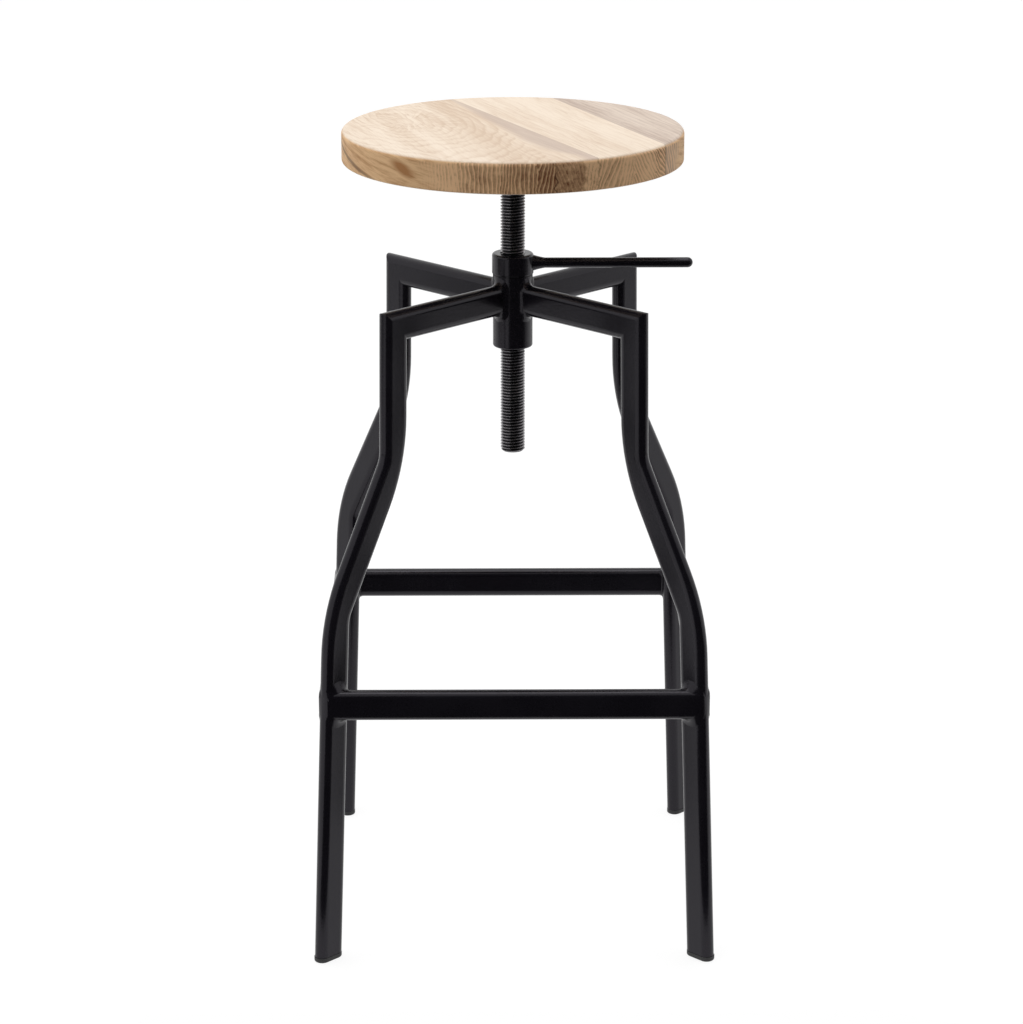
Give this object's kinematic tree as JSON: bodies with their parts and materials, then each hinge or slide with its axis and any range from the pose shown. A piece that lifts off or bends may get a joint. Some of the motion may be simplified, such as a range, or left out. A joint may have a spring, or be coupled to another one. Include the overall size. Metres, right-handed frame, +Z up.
{
  "type": "stool",
  "caption": "Round wooden stool whose seat screws up and down on a threaded spindle in a black bent-leg frame of flat-oval tube, with a lever lock collar and foot bars.",
  "frame": {"origin": "on the floor, under the spindle's axis", "axes": "+Z up along the spindle, -Y towards the front, +X along the lock lever"},
  "size_m": [0.3922, 0.3922, 0.789],
  "materials": {
    "wood": "matt oiled hardwood",
    "black_steel": "satin black powder coat",
    "washer_steel": "matt black",
    "screw_steel": "zinc plated",
    "black_plastic": "matt"
  },
  "bodies": {
    "frame": {"hub": "black_steel", "arm_back_right": "black_steel", "arm_back_left": "black_steel", "arm_front_left": "black_steel", "arm_front_right": "black_steel", "leg_back_right": "black_steel", "leg_back_left": "black_steel", "leg_front_left": "black_steel", "leg_front_right": "black_steel", "bar_front": "black_steel", "bar_right": "black_steel", "bar_back": "black_steel", "bar_left": "black_steel", "foot_back_right": "black_plastic", "foot_back_left": "black_plastic", "foot_front_left": "black_plastic", "foot_front_right": "black_plastic"},
    "washer": {"friction_washer": "washer_steel"},
    "seat": {"spindle": "black_steel", "seat_plate": "black_steel", "seat_screws": "screw_steel", "seat_board_left": "wood", "seat_board_heart": "wood", "seat_board_middle": "wood", "seat_board_right": "wood"},
    "lock": {"lock_collar": "black_steel", "lock_lever": "black_steel"}
  },
  "joints": [
    {"name": "seat_turn", "type": "hinge", "parent": "frame", "child": "washer", "pos_m": [0, 0, 0.645], "axis": [0, 0, 1], "range_deg": [-10440, 12600]},
    {"name": "seat_rise", "type": "slide", "parent": "washer", "child": "seat", "axis": [0, 0, 1], "range_m": [-0.0871, 0.1051]},
    {"name": "lock_turn", "type": "hinge", "parent": "frame", "child": "lock", "pos_m": [0, 0, 0.6562], "axis": [0, 0, 1], "range_deg": [0, 90]}
  ],
  "couplings": [
    {"joint": "seat_rise", "follows": "seat_turn", "m_per_rad": 0.00047746}
  ]
}
